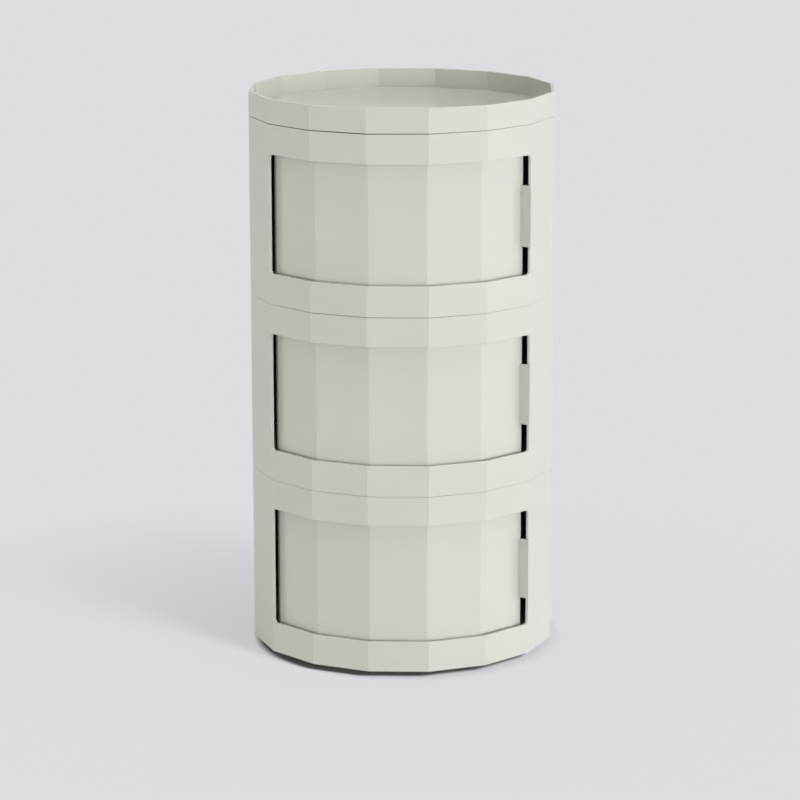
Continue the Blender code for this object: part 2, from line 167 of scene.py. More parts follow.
def joined(shape, other):  # union of two closed shapes
    holders = []
    for part in (shape, other):
        mesh = bpy.data.meshes.new("joining")
        part.to_mesh(mesh)
        holders.append(bpy.data.objects.new("joining", mesh))
        bpy.context.scene.collection.objects.link(holders[-1])
    other.free()
    union = holders[0].modifiers.new("union", "BOOLEAN")
    union.operation, union.solver, union.object = "UNION", "EXACT", holders[1]
    done = holders[0].evaluated_get(bpy.context.evaluated_depsgraph_get())
    shape.clear()
    shape.from_mesh(done.to_mesh())
    for mesh in [holder.data for holder in holders]:
        bpy.data.meshes.remove(mesh)  # its object goes with it


def newPiece(name, shape, finish, body, node):
    bmesh.ops.recalc_face_normals(shape, faces=shape.faces)
    mesh = bpy.data.meshes.new(name)
    shape.to_mesh(mesh)
    shape.free()
    mesh.shade_smooth()
    mesh.set_sharp_from_angle(angle=math.radians(squareTurn))
    mesh.materials.append(finish)
    piece = bpy.data.objects.new(name, mesh)
    bpy.context.scene.collection.objects.link(piece)
    weigh = piece.modifiers.new("flatSides", "WEIGHTED_NORMAL")  # broad faces stay flat beside round edges
    weigh.mode = "FACE_AREA"
    weigh.weight = 100
    weigh.keep_sharp = True
    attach(piece, body)
    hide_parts(node)
    cabinetOnly.objects.link(piece)
    if node.startswith(("castor", "base")):
        undersideOnly.objects.link(piece)


# finishes
class Wire:  # one socket; sums and products of wires add Math nodes
    def __init__(self, finish, socket):
        self.finish = finish
        self.socket = socket

    def maths(self, operation, first, second):
        return self.finish.node("ShaderNodeMath", {"operation": operation}, {0: first, 1: second})

    def __add__(self, other):
        return self.maths("ADD", self, other)

    def __radd__(self, other):
        return self.maths("ADD", other, self)

    def __sub__(self, other):
        return self.maths("SUBTRACT", self, other)

    def __rsub__(self, other):
        return self.maths("SUBTRACT", other, self)

    def __mul__(self, other):
        return self.maths("MULTIPLY", self, other)

    def __rmul__(self, other):
        return self.maths("MULTIPLY", other, self)

    def atLeast(self, other):
        return self.maths("MAXIMUM", self, other)


class Finish:  # the nodes of a material or of the world
    def __init__(self, owner, shader, **constants):
        owner.use_nodes = True
        self.owner = owner
        self.tree = owner.node_tree
        self.shader = self.tree.nodes[shader]
        for socket, value in constants.items():
            self.shader.inputs[socket.replace("_", " ")].default_value = value

    def node(self, kind, settings, sockets, output=0):
        made = self.tree.nodes.new(kind)
        for key, value in settings.items():
            if key == "stops":
                for stop, (place, shade) in zip(made.color_ramp.elements, value):
                    stop.position = place
                    stop.color = (shade, shade, shade, 1)
            else:
                setattr(made, key, value)
        for key, value in sockets.items():
            if isinstance(value, Wire):
                self.tree.links.new(value.socket, made.inputs[key])
            else:
                made.inputs[key].default_value = value
        return Wire(self, made.outputs[output])

    def feed(self, **wires):
        for socket, wire in wires.items():
            self.tree.links.new(wire.socket, self.shader.inputs[socket.replace("_", " ")])

    def show(self, shader, output):
        self.tree.links.new(shader.socket, self.tree.nodes[output].inputs["Surface"])

    def ownShader(self):
        return Wire(self, self.shader.outputs[0])

    def place(self):
        return self.node("ShaderNodeTexCoord", {}, {}, "Object")

    def wearAndPaintedLight(self):  # 1 on rounded edges and worn tread (wear, and on moulding a painted edge highlight), below 0 where painted shade lies
        return self.node("ShaderNodeAttribute", {"attribute_name": "edgeWearAndPaintedLight"}, {}, "Fac")

    def noise(self, place, pattern):
        if "stretch" in pattern:
            place = self.node("ShaderNodeMapping", {}, {"Vector": place, "Scale": pattern["stretch"]})
        sockets = {"Vector": place, "Scale": pattern["scale"], "Detail": pattern["detail"]}
        return self.node("ShaderNodeTexNoise", {}, sockets)

    def ramp(self, value, pattern):
        low, high = pattern["stops"]
        return self.node("ShaderNodeValToRGB", {"stops": ((low, 0.0), (high, 1.0))}, {"Fac": value})

    def blend(self, share, first, second):
        return self.node("ShaderNodeMix", {"data_type": "RGBA"}, {0: share, 6: first, 7: second}, 2)

    def blendShaders(self, share, first, second):
        return self.node("ShaderNodeMixShader", {}, {0: share, 1: first, 2: second})

    def bump(self, height, distance):
        return self.node("ShaderNodeBump", {}, {"Height": height, "Distance": distance, "Strength": 1.0})

    def seenShare(self):  # 1 for rays that show the background, 0 for rays that light the object
        kinds = ("Is Camera Ray", "Is Glossy Ray", "Is Transmission Ray")
        seen, glossy, through = [self.node("ShaderNodeLightPath", {}, {}, kind) for kind in kinds]
        return seen.atLeast(glossy).atLeast(through)


def newFinish(name, **constants):
    return Finish(bpy.data.materials.new(name), "Principled BSDF", **constants)


mouldingLook = {
    "pale": (0.691, 0.680, 0.631, 1),
    "deep": (0.668, 0.658, 0.607, 1),
    # lighter rounded edges: part wear, part painted edge highlight
    "rubbedAndHighlight": (0.727, 0.718, 0.677, 1),
    # dark colour painted as shade in the seams and on the pull tabs
    "paintedShade": (0.09, 0.088, 0.08, 1),
    "cloud": {"scale": 7.0, "detail": 3.0, "stops": (0.3, 0.7)},
    "smear": {"stretch": (16.0, 16.0, 5.0), "scale": 3.0, "detail": 4.0, "stops": (0.35, 0.65)},
    "peel": {"scale": 190.0, "detail": 1.0, "share": 0.7},
    "grain": {"scale": 1400.0, "detail": 2.0, "share": 0.3},
    "peelHeight": 0.000005,
    "roughness": 0.05,
    "smearRoughness": 0.03,
    "rubRoughness": 0.06,
    "paintedShadeRoughness": 0.6,
}


def mouldingFinish(look):  # smooth moulded plastic, faintly clouded
    finish = newFinish("mouldedWarmWhite", IOR=1.5)
    place = finish.place()
    cloud = finish.noise(place, look["cloud"])
    smear = finish.noise(place, look["smear"])
    peel = finish.noise(place, look["peel"])
    grain = finish.noise(place, look["grain"])
    wearAndPaintedLight = finish.wearAndPaintedLight()
    # rounded edges turn lighter, part wear and part painted highlight; faces marked below 0 take painted
    # shade
    wearAndHighlight = wearAndPaintedLight * finish.ramp(smear, look["smear"])
    shadeShare = (wearAndPaintedLight * -1.0).atLeast(0.0)
    body = finish.blend(finish.ramp(cloud, look["cloud"]), look["deep"], look["pale"])
    smooth = (smear - 0.5) * look["smearRoughness"] + look["roughness"]
    skin = peel * look["peel"]["share"] + grain * look["grain"]["share"]
    finish.feed(
        Base_Color=finish.blend(shadeShare, finish.blend(wearAndHighlight, body, look["rubbedAndHighlight"]), look["paintedShade"]),
        Roughness=smooth + wearAndHighlight * look["rubRoughness"] + shadeShare * look["paintedShadeRoughness"],
        Normal=finish.bump(skin, look["peelHeight"]),
    )
    return finish.owner


nylonLook = {
    "pale": (0.72, 0.71, 0.65, 1),
    "deep": (0.63, 0.62, 0.56, 1),
    "cloud": {"scale": 120.0, "detail": 3.0, "stops": (0.35, 0.65)},
    "grain": {"scale": 900.0, "detail": 2.0},
    "grainHeight": 0.00001,
    "roughness": 0.42,
    "cloudRoughness": 0.12,
}


def nylonFinish(look):  # natural nylon, a little cloudy
    finish = newFinish("naturalNylon", IOR=1.53)
    place = finish.place()
    cloud = finish.noise(place, look["cloud"])
    finish.feed(
        Base_Color=finish.blend(finish.ramp(cloud, look["cloud"]), look["deep"], look["pale"]),
        Roughness=cloud * look["cloudRoughness"] + look["roughness"],
        Normal=finish.bump(finish.noise(place, look["grain"]), look["grainHeight"]),
    )
    return finish.owner


steelLook = {
    "bright": (0.66, 0.67, 0.69, 1),
    "dull": (0.46, 0.47, 0.49, 1),
    "bloom": {"scale": 260.0, "detail": 4.0, "stops": (0.3, 0.7)},
    "lines": {"stretch": (300.0, 2600.0, 2600.0), "scale": 1.0, "detail": 2.0},
    "lineHeight": 0.000006,
    "roughness": 0.26,
    "bloomRoughness": 0.16,
    "lineRoughness": 0.08,
}


def steelFinish(look):  # zinc-plated steel with a faint bloom
    finish = newFinish("zincSteel", Metallic=1.0)
    place = finish.place()
    bloom = finish.noise(place, look["bloom"])
    lines = finish.noise(place, look["lines"])
    finish.feed(
        Base_Color=finish.blend(finish.ramp(bloom, look["bloom"]), look["dull"], look["bright"]),
        Roughness=bloom * look["bloomRoughness"] + lines * look["lineRoughness"] + look["roughness"],
        Normal=finish.bump(lines, look["lineHeight"]),
    )
    return finish.owner


tyreLook = {
    "black": (0.022, 0.022, 0.024, 1),
    "scuffed": (0.075, 0.072, 0.068, 1),
    "scuff": {"scale": 700.0, "detail": 5.0, "stops": (0.48, 0.72)},
    "scuffHeight": 0.00002,
    "treadScuff": 0.7,  # added to the scuffs of the sides
    "sideScuff": 0.3,
    "roughness": 0.48,
    "scuffRoughness": 0.2,
}


def tyreFinish(look):  # hard black castor wheel, scuffed where it rolls
    finish = newFinish("castorBlack", IOR=1.5)
    scuff = finish.noise(finish.place(), look["scuff"])
    wearAndHighlight = finish.ramp(scuff, look["scuff"]) * (finish.wearAndPaintedLight() * look["treadScuff"] + look["sideScuff"])
    finish.feed(
        Base_Color=finish.blend(wearAndHighlight, look["black"], look["scuffed"]),
        Roughness=wearAndHighlight * look["scuffRoughness"] + look["roughness"],
        Normal=finish.bump(scuff, look["scuffHeight"]),
    )
    return finish.owner


moulding = mouldingFinish(mouldingLook)
nylon = nylonFinish(nylonLook)
steel = steelFinish(steelLook)
tyre = tyreFinish(tyreLook)
print("finishes made")

# drum shells
shellLook = {
    "wall": 0.003,
    "seat": 0.0023,  # height of the half-lap at each end
    "sill": 0.03565,  # above the shell's foot
    "head": 0.03415,  # below its top
    "jamb": 56.0,
    "cutFront": 0.05,  # the doorway's cuts stay in front of this
    "corner": 0.004,
    "cornerSteps": 6,
    "edge": 0.0003,
}
jointLook = {  # above each shell: what each side of the gap takes up in front and at the back
    "lower": {"open": 0.00018, "shut": 0.0003, "toward": -5, "fall": 8},
    "middle": {"open": 0.0, "shut": 0.0003, "toward": -12, "fall": 8},
    "upper": {"open": -0.00015, "shut": 0.00085, "toward": -18, "fall": 4},
}
below = {"middle": "lower", "upper": "middle"}


def closeJoint(shape, level, joint, side):  # the joints stand open in front and close towards the back
    for vert in [vert for vert in shape.verts if abs(vert.co.z - level) < near]:
        share = frontShare(vert.co, joint["toward"], joint["fall"])
        vert.co.z += side * (joint["open"] * share + joint["shut"] * (1 - share))


def makeShell(module, look):
    low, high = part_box("shell_" + module)
    flat, foot, top = high.x, low.z, high.z
    lap, inner, seat = flat - look["wall"] / 2, flat - look["wall"], look["seat"]
    sill, head, jamb = foot + look["sill"], top - look["head"], look["jamb"]
    shape = bmesh.new()
    outside = [(lap, foot), (flat, foot), (flat, top), (lap, top)]
    inside = [(lap, top - seat), (inner, top - seat), (inner, foot + seat), (lap, foot + seat)]
    drumRing(shape, outside + inside)
    closeJoint(shape, top, jointLook[module], 1)
    if module in below:
        closeJoint(shape, foot, jointLook[below[module]], -1)
    planes = [((0, 0, sill), (0, 0, 1)), ((0, 0, head), (0, 0, 1))]
    planes += [((0, 0, 0), direction(side * jamb + 90)) for side in (-1, 1)]
    for point, normal in planes:
        front = [face for face in shape.faces if middle(face).y < -look["cutFront"]]
        sliced(shape, front, point, normal)
    doorway = [face for face in shape.faces if sill < middle(face).z < head]
    doorway = [face for face in doorway if abs(angleOf(middle(face))) < jamb]
    bmesh.ops.delete(shape, geom=doorway, context="FACES")
    bmesh.ops.bridge_loops(shape, edges=boundary(shape))
    bmesh.ops.recalc_face_normals(shape, faces=shape.faces)
    mergeFlat(shape)

    def atCorner(vert):
        onLevel = min(abs(vert.co.z - sill), abs(vert.co.z - head)) < near
        return onLevel and abs(abs(angleOf(vert.co)) - jamb) < nearAngle

    through = [edge for edge in shape.edges if all(map(atCorner, edge.verts))]
    through = [edge for edge in through if edge.calc_length() < 2 * look["wall"]]
    rounded(shape, through, look["corner"], look["cornerSteps"])
    seen = [edge for edge in shape.edges if all(abs(flatReach(vert.co) - flat) < near for vert in edge.verts)]
    rounded(shape, [edge for edge in seen if sharpness(edge) > sideTurn], look["edge"])
    newPiece(module + "Shell", shape, moulding, "cabinet", "shell_" + module)


for module in modules:
    makeShell(module, shellLook)
print("shells made")

# sliding doors
doorLook = {
    "thickness": 0.003,
    "leftEnd": -58.6,
    "rightEnd": 55.7978,
    "notchLength": 0.0115,  # close round the plug of a glide
    "notchHeight": 0.0048,
    "notchAngle": 45.0,
    "tabInset": 0.0004,
    "tabThickness": 0.003,
    "tabHeight": 0.071,
    "tabDrop": 0.0015,
    "tabTip": 0.183,
    "tabRoot": 0.1682,  # inside the panel
    "tabPaintedShade": 0.07,  # painted shade on the pull tab's flat faces
    "edge": 0.0004,
}


def makeDoor(module, look):
    low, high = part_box("door_" + module)
    flat = -low.y
    shape = bmesh.new()
    drumRing(shape, [(flat, low.z), (flat, high.z)], closed=False)
    sliced(shape, list(shape.faces), (0, 0, 0), direction(look["leftEnd"] - 90), clear=True)
    sliced(shape, list(shape.faces), (0, 0, 0), direction(look["rightEnd"] + 90), clear=True)
    half, deep = look["notchLength"] / 2, look["notchHeight"]
    for angle in (-look["notchAngle"], look["notchAngle"]):
        along = direction(angle + 90)
        planes = [(along * half, along), (along * -half, along)]
        planes += [((0, 0, low.z + deep), (0, 0, 1)), ((0, 0, high.z - deep), (0, 0, 1))]
        for point, normal in planes:
            side = [face for face in shape.faces if abs(angleOf(middle(face)) - angle) < sideAngle / 2]
            sliced(shape, side, point, normal)
        side = [face for face in shape.faces if abs(angleOf(middle(face)) - angle) < sideAngle / 2]
        notch = [face for face in side if abs(middle(face).dot(along)) < half]
        notch = [face for face in notch if not low.z + deep < middle(face).z < high.z - deep]
        bmesh.ops.delete(shape, geom=notch, context="FACES")
    mergeFlat(shape)
    share = (flat - look["thickness"]) / flat
    pulled(shape, list(shape.faces), Matrix.Diagonal((share, share, 1, 1)), keep=True)
    bmesh.ops.recalc_face_normals(shape, faces=shape.faces)
    rounded(shape, sharpEdges(shape, sideTurn), look["edge"])
    tip, root, thick = look["tabTip"], look["tabRoot"], look["tabThickness"]
    tabMiddle = (low.z + high.z) / 2 - look["tabDrop"]
    centre = Vector((-look["tabInset"] - thick / 2, -(tip + root) / 2, tabMiddle))
    turn = Matrix.Rotation(math.radians(look["rightEnd"]), 4, "Z")
    size = Matrix.Diagonal((thick, tip - root, look["tabHeight"], 1))
    tab = bmesh.new()
    bmesh.ops.create_cube(tab, size=1, matrix=turn @ Matrix.Translation(centre) @ size)
    rounded(tab, list(tab.edges), look["edge"])
    # the tab's flat faces get painted shade; its rounded edges stay lighter
    wearAndPaintedLight = tab.faces.layers.float["edgeWearAndPaintedLight"]
    for face in tab.faces:
        face[wearAndPaintedLight] = face[wearAndPaintedLight] or -look["tabPaintedShade"]
    joined(shape, tab)
    newPiece(module + "Door", shape, moulding, f"door_{module}_leaf", "door_" + module)


for module in modules:
    makeDoor(module, doorLook)
print("doors made")

# tray
trayLook = {
    "wall": 0.004,
    "depth": 0.0232,
    "floor": 0.003,
    "edge": 0.0006,
    "lowEdge": 0.0002,  # outside, over the joint
    "foot": 0.0006,  # where the wall meets the floor
}


def makeTray(look):
    low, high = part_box("tray_top")
    radius = high.x / cornerShare
    turn = Matrix.Translation((0, 0, low.z)) @ Matrix.Rotation(math.radians(sideAngle / 2), 4, "Z")
    shape = bmesh.new()
    bmesh.ops.create_circle(shape, cap_ends=True, segments=sideCount, radius=radius, matrix=turn)
    pulled(shape, list(shape.faces), (0, 0, high.z - low.z), keep=True)
    bmesh.ops.recalc_face_normals(shape, faces=shape.faces)
    floorTop = high.z - look["depth"]
    for side, rise in ((1, -look["depth"]), (-1, floorTop - look["floor"] - low.z)):
        face = max(shape.faces, key=lambda face: face.normal.z * side)
        bmesh.ops.inset_region(
            shape, faces=[face], thickness=look["wall"], use_even_offset=True, use_boundary=True,
        )
        pulled(shape, [face], (0, 0, rise))
    bmesh.ops.recalc_face_normals(shape, faces=shape.faces)
    foot = [edge for edge in shape.edges if all(abs(vert.co.z - floorTop) < near for vert in edge.verts)]
    rounded(shape, foot, look["foot"], wearAndHighlightShare=0.0)
    sharp = sharpEdges(shape, sideTurn)
    rim = [edge for edge in sharp if max(vert.co.z for vert in edge.verts) > high.z - near]
    rounded(shape, rim, look["edge"])
    sharp = sharpEdges(shape, squareTurn)
    outer = [edge for edge in sharp if all(flatReach(vert.co) > high.x - look["edge"] for vert in edge.verts)]
    lowest = [edge for edge in outer if all(vert.co.z < low.z + near for vert in edge.verts)]
    rounded(shape, lowest, look["lowEdge"])
    newPiece("topTray", shape, moulding, "tray", "tray_top")


makeTray(trayLook)
print("tray made")

# dividers, crown ring and base deck
trackLook = {
    "skirt": 0.17324,  # slips inside the shells
    "wall": 0.0025,
    "grooveOuter": 0.168035,
    "grooveInner": 0.163274,
    "grooveDepth": 0.004,
    "deck": 0.003,
    "flangeFlat": 0.174741,
    "flangeRoot": 0.172,  # inside the skirt's wall
    "flangeSpare": 0.001,  # cut off again by the flat sides
    "flange": 0.004,
    "headDrop": 0.0275,  # from a joint down to the lip of the door's head track
    "steps": 128,
    "edge": 0.0003,
    "paintedShade": 0.9,  # painted shade in the joints, mostly in front
    "shadeToward": -18,
    "shadeFall": 4,
}


def deckTop(look, level):
    outer, inner, floor = look["grooveOuter"], look["grooveInner"], level - look["grooveDepth"]
    groove = [(inner, level), (inner, floor), (outer, floor), (outer, level)]
    return [(0, level)] + groove + [(look["skirt"], level)]


def deckUnder(look, level):
    wall, inner = look["wall"], look["grooveInner"] - look["wall"]
    under, deck = level - look["grooveDepth"] - wall, level - look["deck"]
    return [(look["skirt"] - wall, under), (inner, under), (inner, deck), (0, deck)]


def headEnd(look, level):
    outer, inner, wall, skirt = look["grooveOuter"], look["grooveInner"], look["wall"], look["skirt"]
    roof = level + look["grooveDepth"]
    groove = [(outer, level), (outer, roof), (inner, roof), (inner, level)]
    behind = [(inner - wall, level), (inner - wall, roof + wall), (skirt - wall, roof + wall)]
    return [(skirt, level)] + groove + behind


def flangeRing(shape, look, bottom, top, paintedShade=0.0):  # round inside, flat-sided outside
    root, flat = look["flangeRoot"], look["flangeFlat"]
    corner = flat / cornerShare + look["flangeSpare"]
    ring = bmesh.new()
    spun(ring, [(root, bottom), (corner, bottom), (corner, top), (root, top)], look["steps"])
    for side in range(sideCount):
        out = direction(side * sideAngle)
        sliced(ring, list(ring.faces), out * flat, out, clear=True)
        bmesh.ops.holes_fill(ring, edges=boundary(ring))
    joined(shape, ring)
    # the flat outer faces, seen through the seams, get painted shade, strongest in front
    wearAndPaintedLight = shape.faces.layers.float["edgeWearAndPaintedLight"]
    for face in shape.faces:
        if isUpright(face) and flatReach(middle(face)) > flat - near:
            face[wearAndPaintedLight] = -paintedShade * frontShare(middle(face), look["shadeToward"], look["shadeFall"])


def makeDivider(name, node, look):
    low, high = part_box(node)
    joint = low.z + look["headDrop"]
    shape = bmesh.new()
    profile = deckTop(look, high.z) + headEnd(look, low.z) + deckUnder(look, high.z)
    spun(shape, profile, look["steps"], closed=False)
    rounded(shape, ringEdges(shape), look["edge"])
    flangeRing(shape, look, joint - look["flange"] / 2, joint + look["flange"] / 2, look["paintedShade"])
    newPiece(name, shape, moulding, "cabinet", node)


# the crown's flange gets painted shade in the seam below the tray
crownLook = {"spigot": 0.172241, "spigotRise": 0.0025, "ledge": 0.001, "flangeTop": 0.00035, "paintedShade": 1.0}


def makeCrown(look, track):
    low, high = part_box("crown_ring")
    joint = high.z - look["spigotRise"]
    spigot, wall, skirt = look["spigot"], track["wall"], track["skirt"]
    ledge = joint - look["ledge"]
    outside = [(spigot, high.z), (spigot, ledge), (skirt, ledge)]
    inside = [(skirt - wall, ledge - wall), (spigot - wall, ledge - wall), (spigot - wall, high.z)]
    shape = bmesh.new()
    spun(shape, outside + headEnd(track, low.z) + inside, track["steps"])
    rounded(shape, ringEdges(shape), track["edge"])
    flangeRing(shape, track, joint - track["flange"] / 2, joint + look["flangeTop"], look["paintedShade"])
    newPiece("crownRing", shape, moulding, "cabinet", "crown_ring")


baseLook = {
    "flangeBottom": 0.0003,
    "flangeTop": 0.00165,
    "padRadius": 0.0210,
    "padGap": 0.0003,  # above the castor's plate
    "padRoot": 0.0035,
    "padSteps": 48,
}


def makeBase(look, track):
    low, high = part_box("base_deck")
    skirt, wall = track["skirt"], track["wall"]
    shape = bmesh.new()
    foot = [(skirt, low.z), (skirt - wall, low.z)]
    spun(shape, deckTop(track, high.z) + foot + deckUnder(track, high.z), track["steps"], closed=False)
    rounded(shape, ringEdges(shape), track["edge"])
    for corner in corners:
        plateLow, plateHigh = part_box(f"castor_{corner}_plate")
        centre = (plateLow + plateHigh) / 2
        bottom, root = plateHigh.z + look["padGap"], plateHigh.z + look["padRoot"]
        pad = [(0, bottom), (look["padRadius"], bottom), (look["padRadius"], root), (0, root)]
        disc = bmesh.new()
        spun(disc, pad, look["padSteps"], closed=False, cent=(centre.x, centre.y, 0))
        rounded(disc, ringEdges(disc), track["edge"])
        joined(shape, disc)
    flangeRing(shape, track, low.z + look["flangeBottom"], low.z + look["flangeTop"])
    newPiece("baseDeck", shape, moulding, "cabinet", "base_deck")


makeDivider("lowerDivider", "divider_lower", trackLook)
makeDivider("upperDivider", "divider_upper", trackLook)
makeCrown(crownLook, trackLook)
makeBase(baseLook, trackLook)
print("dividers, crown and base made")

# glides in the doors' lower edges, guides in their upper edges
glideLook = {"length": 0.018, "plug": 0.0114, "gap": 0.0003, "edge": 0.0003}


def makeGlide(module, kind, side, look, door):
    node = f"door_{module}_{kind}_{side}"
    low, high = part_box(node)
    doorLow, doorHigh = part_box("door_" + module)
    gap, thick, half = look["gap"], door["thickness"], look["plug"] / 2
    if kind == "glide":
        bottom, top, rise = low.z, doorLow.z - gap, high.z - doorLow.z + gap
    else:
        bottom, top, rise = doorHigh.z + gap, high.z, low.z - doorHigh.z - gap
    size = Matrix.Diagonal((look["length"], thick, top - bottom, 1))
    centre = Matrix.Translation((0, doorLow.y + thick / 2, (bottom + top) / 2))
    shape = bmesh.new()
    bmesh.ops.create_cube(shape, size=1, matrix=centre @ size)
    for x in (-half, half):
        sliced(shape, list(shape.faces), (x, 0, 0), (1, 0, 0))
    way = 1 if rise > 0 else -1
    root = [face for face in shape.faces if facesUp(face, way) and abs(middle(face).x) < half]
    pulled(shape, root, (0, 0, rise))
    rounded(shape, sharpEdges(shape, ringTurn), look["edge"])
    angle = door["notchAngle"] * (1 if side == "right" else -1)
    turn = Matrix.Rotation(math.radians(angle), 4, "Z")
    bmesh.ops.transform(shape, verts=shape.verts, matrix=turn)
    name = f"{module}Door{kind.title()}{side.title()}"
    newPiece(name, shape, nylon, f"door_{module}_leaf", node)


for module in modules:
    for kind in ("glide", "guide"):
        for side in ("left", "right"):
            makeGlide(module, kind, side, glideLook, doorLook)
print("glides made")


# castors
def turnedPart(profile, steps, cent, closed, edge=None, axis=(0, 0, 1)):
    shape = bmesh.new()
    spun(shape, profile, steps, closed=closed, axis=axis, cent=cent)
    if edge:
        rounded(shape, ringEdges(shape), edge)
    return shape


def washerProfile(inner, outer, low, high):
    return [(inner, low), (outer, low), (outer, high), (inner, high)]


def mirrored(profile):  # the same profile on the other side of the middle
    return [(radius, -across) for radius, across in reversed(profile)]


screwLook = {
    "shank": 0.0015,
    "head": 0.0016,
    "dome": (0.0024, 0.00025),  # radius and height where the dome begins to fall
    "brim": 0.0008,
    "crossWidth": 0.0004,
    "crossReach": 0.0014,
    "crossDepth": 0.0009,
    "crossArm": 0.6,  # of its width, from the middle line to the furthest face in an arm
    "steps": 32,
}


def makeScrew(node, name, look):  # pan head with a cross recess, pointing up
    low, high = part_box(node)
    radius, neck = (high.x - low.x) / 2, low.z + look["head"]
    width, reach = look["crossWidth"], look["crossReach"]
    dome = [(0, 0.0), (width, 0.0), (reach, 0.0), look["dome"], (radius, look["brim"])]
    head = [(out, low.z + rise) for out, rise in dome] + [(radius, neck)]
    shank = [(look["shank"], neck), (look["shank"], high.z), (0, high.z)]
    cent = ((low.x + high.x) / 2, (low.y + high.y) / 2, 0)
    shape = turnedPart(head + shank, look["steps"], cent, False)

    def inCross(face):
        spot = (middle(face) - Vector(cent)).xy
        if not facesUp(face, -1) or spot.length > reach:
            return False
        return min(abs(spot.x), abs(spot.y)) < width * look["crossArm"] or spot.length < width

    pulled(shape, [face for face in shape.faces if inCross(face)], (0, 0, look["crossDepth"]))
    newPiece(name, shape, steel, "cabinet", node)


yokeLook = {
    "kingpinHole": 0.0033,
    "plate": 0.0015,
    "legInside": 0.0056,
    "legOutside": 0.0071,
    "legTop": 0.012,
    "legRoot": 0.0007,  # inside the plate
    "legEnd": 0.004,
    "legSteps": 16,
    "trail": 0.009,
    "steps": 64,
    "edge": 0.0003,
}


def makeYoke(node, name, body, pivot, axleHeight, look):  # pressed fork
    low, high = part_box(node)
    top, bottom = high.z, high.z - look["plate"]
    reach = max(pivot.x - low.x, high.x - pivot.x)
    disc = washerProfile(look["kingpinHole"], reach, bottom, top)
    shape = turnedPart(disc, look["steps"], (pivot.x, pivot.y, 0), True, look["edge"])
    eye = Vector((0, pivot.y + look["trail"], axleHeight))
    half = look["legTop"] / 2
    for side in (-1, 1):
        leg = bmesh.new()
        x = pivot.x + side * (look["legInside"] if side > 0 else look["legOutside"])
        start = leg.verts.new((x, eye.y - look["legEnd"], eye.z))
        bmesh.ops.spin(
            leg, geom=[start], cent=(x, eye.y, eye.z), axis=(1, 0, 0), angle=math.pi, steps=look["legSteps"],
        )
        bmesh.ops.remove_doubles(leg, verts=leg.verts, dist=weld)
        ends = [vert for vert in leg.verts if len(vert.link_edges) == 1]
        front, back = sorted(ends, key=lambda vert: vert.co.y)
        upper = [leg.verts.new((x, pivot.y + y, bottom + look["legRoot"])) for y in (-half, half)]
        for pair in ((front, upper[0]), (upper[0], upper[1]), (upper[1], back)):
            leg.edges.new(pair)
        bmesh.ops.edgeloop_fill(leg, edges=leg.edges)
        pulled(leg, list(leg.faces), (look["legOutside"] - look["legInside"], 0, 0), keep=True)
        bmesh.ops.recalc_face_normals(leg, faces=leg.faces)
        rounded(leg, ringEdges(leg), look["edge"])
        joined(shape, leg)
    newPiece(name, shape, steel, body, node)


wheelLook = {
    "bore": 0.0021,
    "side": ((0.0038, 0.0), (0.0043, 0.0009), (0.0080, 0.0011), (0.0087, 0.0002)),  # radius, depth
    "tread": ((0.0013, 0.0), (0.0005, 0.0004), (0.0001, 0.0014), (0.0, 0.0026)),  # below the rim, depth
    "rubbedAndHighlight": 0.0006,  # below the rim
    "steps": 64,
}


def makeWheel(node, name, body, centre, look):  # dished sides and a crowned tread
    low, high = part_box(node)
    rim, half = centre.z, (high.x - low.x) / 2
    right = [(look["bore"], half)]
    right += [(radius, half - depth) for radius, depth in look["side"]]
    right += [(rim - under, half - depth) for under, depth in look["tread"]]
    shape = turnedPart(right + mirrored(right), look["steps"], tuple(centre), True, axis=(1, 0, 0))
    wearAndPaintedLight = shape.faces.layers.float.new("edgeWearAndPaintedLight")
    for face in shape.faces:
        face[wearAndPaintedLight] = float(all((vert.co - centre).yz.length > rim - look["rubbedAndHighlight"] for vert in face.verts))
    newPiece(name, shape, tyre, body, node)


castorLook = {  # kingpin, plate, washer and axle
    "hole": 0.0033,
    "kingpinShank": 0.003,
    "rivetHead": 0.001,
    "rivetDome": ((0.5, 0.0001), (0.8, 0.0004)),  # share of its radius, height
    "axleShank": 0.0018,
    "axleHead": 0.0008,
    "axleDome": (0.6, 0.0001),
    "axleSteps": 32,
    "steps": 64,
    "edge": 0.0003,
}


